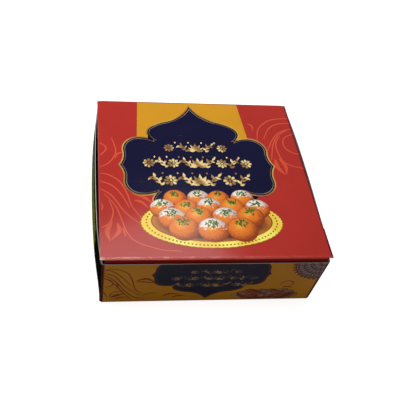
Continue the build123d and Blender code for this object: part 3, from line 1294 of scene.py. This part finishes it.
# Lace of petals and rings on a dark disc with points round it
mandala = {
    "middle": (85.0, 57.8),
    "turn": 0.1,
    # petals in the ring, radius, length, and width as a share of their spacing
    "petalRings": ((12, 4.0, 5.2, 0.78), (24, 10.7, 4.0, 0.74), (36, 16.2, 4.4, 0.72)),
    "widestAt": 0.6,  # of a petal's length
    "widest": 0.82,  # width of the petals' unit shape
    "hub": 2.6,
    "rings": ((9.6, 10.2), (15.1, 15.7), (21.3, 22.0)),
    "ground": 22.9,
    "points": (36, 20.0, 6.2, 3.9),  # how many, radius, length and width
}


def circle(radius):
    return ellipseLoop((0, 0), radius, radius)


def mandalaPieces(settings, inks):
    top, turn = level["rib"], settings["turn"]
    parts = []
    for count, radius, length, share in settings["petalRings"]:
        spacing = math.tau * (radius + length * settings["widestAt"]) / count
        parts.append(petalRing(dropShape, count, radius, length, share * spacing / settings["widest"], top,
                               inks["mandala"], turn))
    parts.append(slabMesh(circle(settings["hub"]), top))
    parts += [ringMesh(circle(outer), circle(inner), top) for inner, outer in settings["rings"]]
    points = petalRing(gemShape, *settings["points"], level["points"], inks["line"], turn)
    pieces = {
        "mandala": (gather(parts), inks["mandala"]),
        "mandala_ground": (slabMesh(circle(settings["ground"]), level["ground"]), inks["mandalaGround"]),
        "mandala_points": (points, inks["line"]),
    }
    return {name: (moved(data, settings["middle"]), material) for name, (data, material) in pieces.items()}


wallDishInks = makeDishInks("walls", dishTones["walls"])


def makeWallArt(settings, sheet, endName, topEdge):
    edges = limits(-wallHalf, wallHalf, settings["footMargin"], topEdge - settings["topMargin"])
    rows = moved(friezeMesh(frieze, wallInks["flourish"]), settings["friezePlace"], settings["friezeSize"])
    pieces = cartouchePieces(settings, wallInks)
    pieces["frieze"] = rows, wallInks["flourish"]
    pieces.update(scrollPieces(wallScrolls, wallInks))
    pieces.update(mandalaPieces(mandala, wallInks))
    pieces = trimmed(pieces, edges)
    field = clipLoop(cartoucheLoop(settings["middle"], settings["halfSize"]), *edges[-1])
    pieces["cartouche"] = slabMesh(field, level["field"]), wallInks["navy"]
    pieces.update(dishPieces(dish, wallDishInks, settings["dishPlace"], settings["dishSize"]))
    putPieces(endName, pieces, sheet, "base")


makeWallArt(wallArt, frontSheet, "front", wallTop)
makeWallArt(wallArt, backSheet, "back", backTop)
print("walls printed")


# Side walls: a dark ground and a green panel with notched corners, a gold line and a lattice of small dots
sidePanel = {
    "halfLength": 56.0,
    "middle": 29.0,
    "halfHeight": 20.0,
    "notch": 6.0,
    "lines": ((-1.4, 0.45), (1.8, 0.3)),  # inset and half width of each line along the panel's edge
    "lattice": 8.0,
    "petals": 4,
    "petalReach": (0.34, 0.1),  # from a flower's middle to its outline, longest and shortest, in cells
    "netHalf": 0.035,
    "netShare": 0.55,
}


def sideColour(bench, place):
    _, y, z = bench.split(place)
    along = bench.minus(bench.math("ABSOLUTE", y), sidePanel["halfLength"] * mm)
    height = bench.math("ABSOLUTE", bench.minus(z, sidePanel["middle"] * mm))
    height = bench.minus(height, sidePanel["halfHeight"] * mm)
    notch = bench.minus(sidePanel["notch"] * mm, bench.vector("LENGTH", bench.join(along, height, 0.0)))
    outside = bench.math("MAXIMUM", bench.math("MAXIMUM", along, height), notch)
    cells = []
    for way in ("ADD", "SUBTRACT"):
        cell = bench.math("FRACT", bench.math("DIVIDE", bench.math(way, y, z), sidePanel["lattice"] * mm))
        cells.append(bench.minus(cell, 0.5))
    spot = bench.vector("LENGTH", bench.join(*cells, 0.0))
    turn = bench.times(bench.math("ARCTAN2", cells[1], cells[0]), float(sidePanel["petals"]))
    bloom = bench.math("LESS_THAN", spot, bench.between(bench.math("COSINE", turn), *sidePanel["petalReach"]))
    mesh = bench.math("MINIMUM", *(bench.minus(0.5, bench.math("ABSOLUTE", cell)) for cell in cells))
    net = bench.math("MAXIMUM", bloom, bench.math("LESS_THAN", mesh, sidePanel["netHalf"]))
    field = bench.blend(bench.times(net, sidePanel["netShare"]), palette["sidePanel"], palette["sideGround"])
    tone = bench.blend(bench.math("LESS_THAN", outside, 0.0), palette["sideGround"], field)
    for inset, half in sidePanel["lines"]:
        off = bench.math("ABSOLUTE", bench.plus(outside, inset * mm))
        tone = bench.blend(bench.math("LESS_THAN", off, half * mm), tone, palette["sideLine"])
    return tone


# White-coated board that the print of the next panel runs onto, up to a reach from their fold
bleeds = {
    "bottom": {"axis": 1, "foldAt": 88.0, "reach": 6, "tone": palette["wallOchre"]},
    "flap": {"axis": 2, "foldAt": 57.5, "reach": 7, "tone": palette["red"]},
    "board": ink(216, 212, 204),
    "noise": {"scale": 700},
    "wander": 0.3,
}


def bleedColour(axis, foldAt, reach, tone):
    def shade(bench, place):
        off = bench.minus(foldAt * mm, bench.math("ABSOLUTE", bench.split(place)[axis]))
        wander = bench.times(bench.minus(bench.noise(place, **bleeds["noise"]), 0.5), bleeds["wander"] * mm)
        bare = bench.math("GREATER_THAN", bench.plus(off, wander), reach * mm)
        return bench.blend(bare, tone, bleeds["board"])
    return shade


# The lid's red is rubbed along the front crease and carries a painted highlight there, both most of all at
# the left;
# it darkens along its right edge as painted shade, and is frayed at the front left corner
rubbingAndHighlight = {
    "reach": 2.2,
    "from": -60,
    "to": 70,
    "most": 0.85,
    "least": 0.12,
    "patches": {"scale": 260, "detail": 4, "roughness": 0.65, "stretch": (0.5, 1, 1)},
    "patchBounds": (0.38, 0.62),
    "patchLeast": 0.15,
}
# painted shade: the lid's red darkens towards its right edge, where the board turns down into the side fold
edgeDark = {"from": 2.2, "to": 1.0, "share": 0.85}  # measured from the lid's right edge
fraying = {"reach": 4.5, "full": 0.8}
tuckFold = Vector(joints["tuck_flap_fold"]["pos_m"])


# share of real rubbing and painted highlight, from the least at the right to the most at the left
def rubAndHighlightShare(bench, place):  # from the least at the right to the most at the left
    left = bench.rise(bench.split(place)[0], rubbingAndHighlight["to"] * mm, rubbingAndHighlight["from"] * mm)
    return bench.between(left, rubbingAndHighlight["least"], rubbingAndHighlight["most"])


def lidColour(bench, place):
    off = bench.minus(tuckFold.dot(lidFront), bench.vector("DOT_PRODUCT", place, lidFront))
    # rubbing and painted highlight along the front crease
    near = bench.rise(off, rubbingAndHighlight["reach"] * mm, 0.0)
    patches = bench.rise(bench.noise(place, **rubbingAndHighlight["patches"]), *rubbingAndHighlight["patchBounds"])
    share = bench.times(near, rubAndHighlightShare(bench, place))
    share = bench.times(share, bench.between(patches, rubbingAndHighlight["patchLeast"], 1.0))
    tone = nearHinge(bench, place, bench.blend(share, palette["red"], palette["rubbedAndLit"]))
    # painted shade along the right edge
    bounds = (lidHalf - edgeDark["from"]) * mm, (lidHalf - edgeDark["to"]) * mm
    darkened = bench.times(bench.rise(bench.split(place)[0], *bounds), edgeDark["share"])
    tone = bench.blend(darkened, tone, palette["edgeShade"])
    corner = lidFront * reachOf("lid_panel", lidFront) + lidUp * lidTop - across * lidHalf * mm
    off = bench.vector("DISTANCE", place, corner)
    frayed = bench.rise(off, fraying["reach"] * mm, fraying["full"] * mm)
    return bench.blend(bench.times(frayed, patches), tone, palette["frayed"])


# The ochre of the front and back walls ends in a dark red just short of the corner folds
cornerDark = {"from": 1.4, "to": 0.5}


def wallColour(bench, place):
    reach = bench.math("ABSOLUTE", bench.split(place)[0])
    share = bench.rise(reach, (wallHalf - cornerDark["from"]) * mm, (wallHalf - cornerDark["to"]) * mm)
    return bench.blend(share, palette["wallOchre"], palette["corner"])


back = Vector((0, 1, 0))
wallWear, sideWear = ((up,), 0.5 * mm, 0.5), ((up,), 0.7 * mm, 0.7)
bottomBleed, flapBleed = bleedColour(**bleeds["bottom"]), bleedColour(**bleeds["flap"])

# outward side, print and sheen of each panel, and its worn edges with the reach and amount of their wear
panelLooks = {
    "lid_panel": (lidUp, lidColour, sheens["lid"], (-across, lidFront, -lidFront), 0.7 * mm, 0.6),
    "front_wall": (-back, wallColour, sheens["walls"], *wallWear),
    "back_wall": (back, wallColour, sheens["walls"], *wallWear),
    "left_wall": (-across, sideColour, sheens["sides"], *sideWear),
    "right_wall": (across, sideColour, sheens["sides"], *sideWear),
    "bottom_panel": (-up, bottomBleed, sheens["bare"]),
    "tuck_flap": (-back - 0.1 * up, palette["tuckRedShaded"], sheens["sides"]),
    "left_flap": (-across, flapBleed, sheens["bare"]),
    "right_flap": (across, flapBleed, sheens["bare"]),
}
endRim = 0.05  # of a side wall's length, which its ink runs round


def dress(nodeName, *look):
    data = nodes[nodeName].data
    data.materials.clear()
    data.materials.append(boardMaterial(nodeName, *look))


def dressPanels(looks):
    for nodeName, (outward, shade, sheen, *wear) in looks.items():
        ways, reach, amount = wear or ((), 0.0, 0.0)
        edges = [(way, reachOf(nodeName, way)) for way in ways]
        endsFrom = reachOf(nodeName, back) - endRim * mm if shade is sideColour else None
        dress(nodeName, outward, shade, sheen, edges, reach, amount, endsFrom)


dressPanels(panelLooks)
for endName, end in (("front", -back), ("back", back)):
    dress(f"{endName}_bottom_crease", end - up, palette["wallOchre"], sheens["walls"])
    for sideName, side in (("left", -across), ("right", across)):
        dress(f"{endName}_{sideName}_corner_crease", side + end, palette["corner"], sheens["sides"])
        dress(f"{endName}_{sideName}_tab", side, palette["tab"], sheens["bare"])
for sideName, side in (("left", -across), ("right", across)):
    dress(f"{sideName}_bottom_crease", side - up, palette["sideGround"], sheens["sides"])

glueLook = {
    "dark": ink(176, 158, 118),
    "light": ink(214, 202, 172),
    "clouds": {"scale": 220, "detail": 4, "roughness": 0.6},
    "roughness": (0.3, 0.55),
    "relief": 0.05 * mm,
}


def makeGlue(settings):
    material, bench, sockets = newMaterial("dried glue", {"Specular IOR Level": 0.5})
    cloud = bench.noise(bench.add("ShaderNodeTexCoord").outputs["Object"], **settings["clouds"])
    bench.plug(sockets["Base Color"], bench.blend(cloud, settings["dark"], settings["light"]))
    bench.plug(sockets["Roughness"], bench.between(cloud, *settings["roughness"]))
    addBump(bench, cloud, settings["relief"], sockets)
    return material


glueFilms = nodes["corner_glue"].data
glueFilms.materials.clear()
glueFilms.materials.append(makeGlue(glueLook))
print("panels dressed")


# Folds: a rounded strip of board from one panel to the next, in place of the crease piece
fold = {
    "inner": 0.5 * mm,
    "outer": 1.0 * mm,
    "segments": 9,
    "cell": 2 * mm,  # length of each face along the fold
    "wear": {"lid": 0.15, "left": 0.5, "right": 0.15},
    "wearReach": 0.55,  # of a fold's width
    "crackRelief": 0.02 * mm,
}


def foldPrint(name, shade, width, amount):
    material, bench, sockets = newMaterial(name, finish["coat"])
    source = bench.add("ShaderNodeTexCoord").outputs
    u, v, _ = bench.split(source["UV"])
    place = bench.join(u, v, 0.0)
    middle = bench.math("ABSOLUTE", bench.minus(v, width / 2))
    plugs = {"Distance": middle, "Vector": place, "Reach": width * fold["wearReach"],
             "Amount": valueAt(source["Object"], amount, bench)}
    worn = bench.group(foldWear, plugs)["Mask"]
    tone = valueAt(source["Object"], shade, bench)
    coat = bench.group(inkCoat, {"Colour": tone, "Vector": place, "Worn": worn, "Core": palette["rubbedAndLit"]})
    bench.plug(sockets["Base Color"], coat["Colour"])
    setCoat(bench, sockets, coat["Roughness"], sheens["folds"])
    addBump(bench, worn, fold["crackRelief"], sockets)
    return material


def makeFoldFibre():
    material, bench, sockets = newMaterial("fold fibre", {"Roughness": finish["bareRoughness"]})
    fibre = bench.group(boardFibre, {"Vector": bench.add("ShaderNodeTexCoord").outputs["UV"]})
    bench.plug(sockets["Base Color"], fibre["Colour"])
    addBump(bench, fibre["Height"], finish["fibreRelief"], sockets)
    return material


foldFibre = makeFoldFibre()


def foldStrip(name, nodeName, centre, runWay, halfRun, ways, shade, wear):
    fromWay, toWay = ways
    turn = fromWay.angle(toWay)
    side = (toWay - fromWay * toWay.dot(fromWay)).normalized()
    segments, runs = fold["segments"], max(int(2 * halfRun / fold["cell"]), 2)
    mesh = bmesh.new()
    uvMap = mesh.loops.layers.uv.new("foldMap")

    def addFace(corners, slot):
        face = mesh.faces.new([vertex for vertex, _ in corners])
        face.material_index = slot
        for loop, (_, place) in zip(face.loops, corners):
            loop[uvMap].uv = place
        return face

    grid = []
    for run in range(runs + 1):
        along = -halfRun + 2 * halfRun * run / runs
        ring = []
        for radius, order in ((fold["outer"], range(segments + 1)), (fold["inner"], range(segments, -1, -1))):
            for step in order:
                angle = turn * step / segments
                way = fromWay * math.cos(angle) + side * math.sin(angle)
                vertex = mesh.verts.new(centre + runWay * along + way * radius)
                ring.append((vertex, (along, angle * radius)))
        grid.append(ring)
    count = len(grid[0])
    for first, second in zip(grid, grid[1:]):
        for here in range(count):
            ahead = (here + 1) % count
            corners = first[here], second[here], second[ahead], first[ahead]
            addFace(corners, 0 if here < segments else 1).smooth = True
    for ring in (grid[0], grid[-1]):
        for step in range(segments):
            addFace((ring[step], ring[step + 1], ring[count - 2 - step], ring[count - 1 - step]), 1)
    bmesh.ops.recalc_face_normals(mesh, faces=mesh.faces[:])
    data = toMesh(mesh, name)
    data.materials.append(foldPrint(name, shade, turn * fold["outer"], wear))
    data.materials.append(foldFibre)
    strip = bpy.data.objects.new(name, data)
    scene.collection.objects.link(strip)
    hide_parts(nodeName)
    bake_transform(strip)


def bandOnFold(bench, place):
    offset = bench.math("ABSOLUTE", bench.minus(bench.split(place)[0], band["middle"] * mm))
    inside = bench.math("LESS_THAN", offset, band["backHalf"] * mm)
    return nearHinge(bench, place, bench.blend(inside, palette["red"], palette["ochre"]))


tuckLean = math.radians(8)
hingeFold = Vector((0, backFace - fold["outer"], backTop * mm))
tuckOut = lidFront * math.cos(tuckLean) - lidUp * math.sin(tuckLean)
flapHalf = (reachOf("left_flap_crease", lidFront) + reachOf("left_flap_crease", -lidFront)) / 2
foldStrip("lid_fold", "lid_crease", hingeFold, across, reachOf("lid_crease", across), (back, lidUp),
          bandOnFold, fold["wear"]["lid"])
# the tuck fold's wear follows the same share, so it carries the painted highlight too, strongest at the left
foldStrip("tuck_fold", "tuck_crease", tuckFold, across, reachOf("tuck_crease", across), (lidUp, tuckOut),
          palette["red"], rubAndHighlightShare)
# the right fold strip is coloured with the painted shade of the lid's right edge
for sideName, side, shade in (("left", -across, "red"), ("right", across, "edgeShade")):
    centre = Vector(joints[f"{sideName}_flap_fold"]["pos_m"])
    foldStrip(f"{sideName}_flap_fold_strip", f"{sideName}_flap_crease", centre, lidFront, flapHalf,
              (lidUp, side), palette[shade], fold["wear"][sideName])
print("folds bent")


# Studio: a pale floor, one large soft lamp above and behind the box, and an even, weak sky
studio = {
    "floorSize": 6.0,
    "floor": {"Base Color": (0.62, 0.62, 0.61, 1.0), "Roughness": 0.9, "Specular IOR Level": 0.1,
              "Emission Color": (1, 1, 1, 1)},
    "floorGlow": 0.84,
    "sky": 0.24,
    "mirroredSky": 0.3,
    "mirroredBounds": (0.5, 0.2),  # height at which the sky that the gloss mirrors begins, and is full
    "lampPlace": (-0.12, 0.11, 0.56),
    "lampAim": (-0.10, 0.06, 0.05),
    "lampSize": (0.64, 0.34),
    "lampPower": 2.75,
}


def makeFloor(settings):
    mesh = bmesh.new()
    bmesh.ops.create_grid(mesh, x_segments=1, y_segments=1, size=settings["floorSize"] / 2)
    floor = bpy.data.objects.new("floor", toMesh(mesh, "floor"))
    scene.collection.objects.link(floor)
    material, bench, sockets = newMaterial("floor paper", settings["floor"])
    seen = bench.add("ShaderNodeLightPath").outputs
    asWhite = bench.math("MAXIMUM", seen["Is Camera Ray"], seen["Is Transmission Ray"])
    bench.plug(sockets["Emission Strength"], bench.times(asWhite, settings["floorGlow"]))
    floor.data.materials.append(material)


def makeSky(settings):
    world = bpy.data.worlds.new("sky")
    world.use_nodes = True
    bench = Bench(world.node_tree)
    sky = world.node_tree.nodes["Background"].inputs
    sky["Color"].default_value = (1, 1, 1, 1)
    seen = bench.add("ShaderNodeLightPath").outputs
    height = bench.split(bench.add("ShaderNodeTexCoord").outputs["Generated"])[2]
    low = bench.times(bench.rise(height, *settings["mirroredBounds"]), settings["mirroredSky"])
    reflected = bench.times(seen["Is Glossy Ray"], low)
    white = bench.math("MAXIMUM", seen["Is Camera Ray"], seen["Is Transmission Ray"])
    white = bench.math("MAXIMUM", white, reflected)
    bench.plug(sky["Strength"], bench.between(white, settings["sky"], 1.0))
    scene.world = world


def makeLamp(settings):
    data = bpy.data.lights.new("softbox", "AREA")
    data.shape = "RECTANGLE"
    data.size, data.size_y = settings["lampSize"]
    data.energy = settings["lampPower"]
    lamp = bpy.data.objects.new("softbox", data)
    lamp.location = settings["lampPlace"]
    aim = Vector(settings["lampAim"]) - lamp.location
    lamp.rotation_euler = aim.to_track_quat("-Z", "Y").to_euler()
    scene.collection.objects.link(lamp)


makeFloor(studio)
makeSky(studio)
makeLamp(studio)
print("studio lit")

for shape in unitShapes:
    bpy.data.objects.remove(shape)
